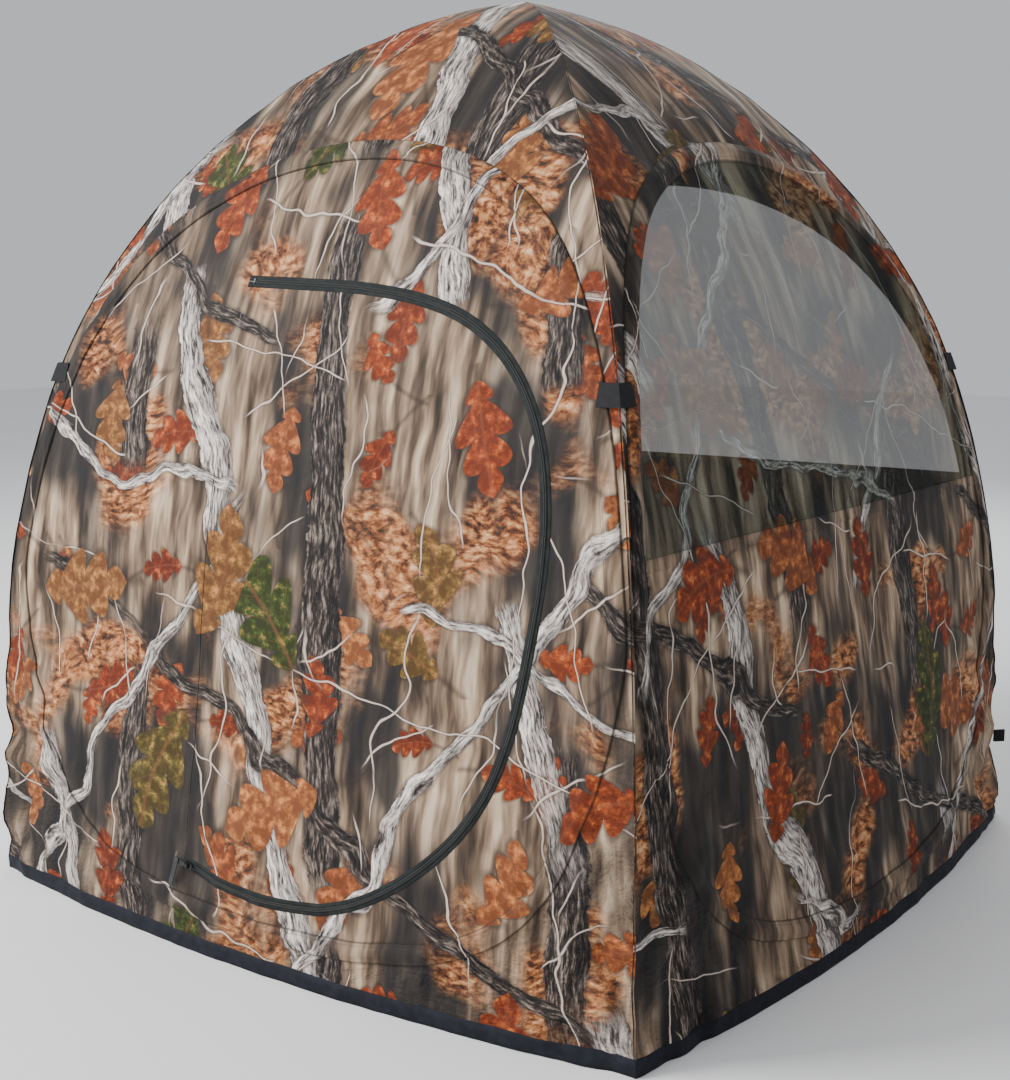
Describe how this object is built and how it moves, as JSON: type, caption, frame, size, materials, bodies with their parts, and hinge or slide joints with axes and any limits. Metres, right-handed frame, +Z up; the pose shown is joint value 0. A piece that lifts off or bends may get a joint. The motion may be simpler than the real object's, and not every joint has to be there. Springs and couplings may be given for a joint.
{
  "type": "pop up ground blind",
  "caption": "Square pop up ground blind with sprung hoop walls, a domed roof, see-through mesh windows and a zipped D-shaped door.",
  "frame": {"origin": "middle of the floor square, on the ground", "axes": "+Z up, door wall faces -Y, windows face +X, +Y and -X"},
  "size_m": [1.638, 1.638, 1.7086],
  "materials": {
    "window_mesh": "see-through printed mesh",
    "spring_steel": "tempered strip",
    "crimp_steel": "crimped sleeve",
    "dark_binding": "dark binding",
    "black_webbing": "webbing",
    "zip_tape": "woven tape",
    "zip_chain": "nylon coil",
    "black_metal": "black enamel",
    "printed_cloth": "woodland print, dark inner coating"
  },
  "bodies": {
    "shell": {"back_wall_hem": "dark_binding", "back_wall_hoop_ferrule": "crimp_steel", "back_wall_hoop_sleeve": "printed_cloth", "back_wall_lower_panel": "printed_cloth", "back_wall_roof_gore": "printed_cloth", "back_wall_skirt": "printed_cloth", "back_wall_steel_hoop": "spring_steel", "back_wall_window_mesh": "window_mesh", "back_wall_window_sill": "printed_cloth", "door_wall_hem": "dark_binding", "door_wall_hoop_ferrule": "crimp_steel", "door_wall_hoop_sleeve": "printed_cloth", "door_wall_panel": "printed_cloth", "door_wall_roof_gore": "printed_cloth", "door_wall_skirt": "printed_cloth", "door_wall_steel_hoop": "spring_steel", "door_zip_chain_wall": "zip_chain", "door_zip_stops": "black_metal", "door_zip_tape_wall": "zip_tape", "hoop_tie_back_left": "black_webbing", "hoop_tie_door_right": "black_webbing", "hoop_tie_left_door": "black_webbing", "hoop_tie_right_back": "black_webbing", "left_wall_hem": "dark_binding", "left_wall_hoop_ferrule": "crimp_steel", "left_wall_hoop_sleeve": "printed_cloth", "left_wall_lower_panel": "printed_cloth", "left_wall_roof_gore": "printed_cloth", "left_wall_skirt": "printed_cloth", "left_wall_steel_hoop": "spring_steel", "left_wall_window_mesh": "window_mesh", "left_wall_window_sill": "printed_cloth", "ridge_webbing_loop": "black_webbing", "right_wall_hem": "dark_binding", "right_wall_hoop_ferrule": "crimp_steel", "right_wall_hoop_sleeve": "printed_cloth", "right_wall_lower_panel": "printed_cloth", "right_wall_roof_gore": "printed_cloth", "right_wall_skirt": "printed_cloth", "right_wall_steel_hoop": "spring_steel", "right_wall_window_mesh": "window_mesh", "right_wall_window_sill": "printed_cloth"},
    "door_flap": {"door_flap": "printed_cloth", "door_zip_tape_flap": "zip_tape", "door_zip_chain_flap": "zip_chain"},
    "zip_slider": {"door_zip_slider": "black_metal"},
    "zip_pull": {"door_zip_pull": "black_metal", "door_zip_pull_tail": "black_webbing"}
  },
  "joints": [
    {"name": "door_hinge", "type": "hinge", "parent": "shell", "child": "door_flap", "pos_m": [-0.17, -0.8245, 0.1504], "axis": [0, -0.1939, -0.981], "range_deg": [0, 120], "deforming": ["door_zip_tape_flap", "door_zip_chain_flap"]},
    {"name": "zip_travel", "type": "hinge", "parent": "shell", "child": "zip_slider", "pos_m": [0.03396, -0.50962, 0.9412], "axis": [0.0069, -0.9419, 0.3359], "range_deg": [0, 12]},
    {"name": "pull_swing", "type": "hinge", "parent": "zip_slider", "child": "zip_pull", "pos_m": [-0.15423, -0.80273, 0.14832], "axis": [0.2128, 0.1535, 0.965], "range_deg": [0, 150]}
  ]
}
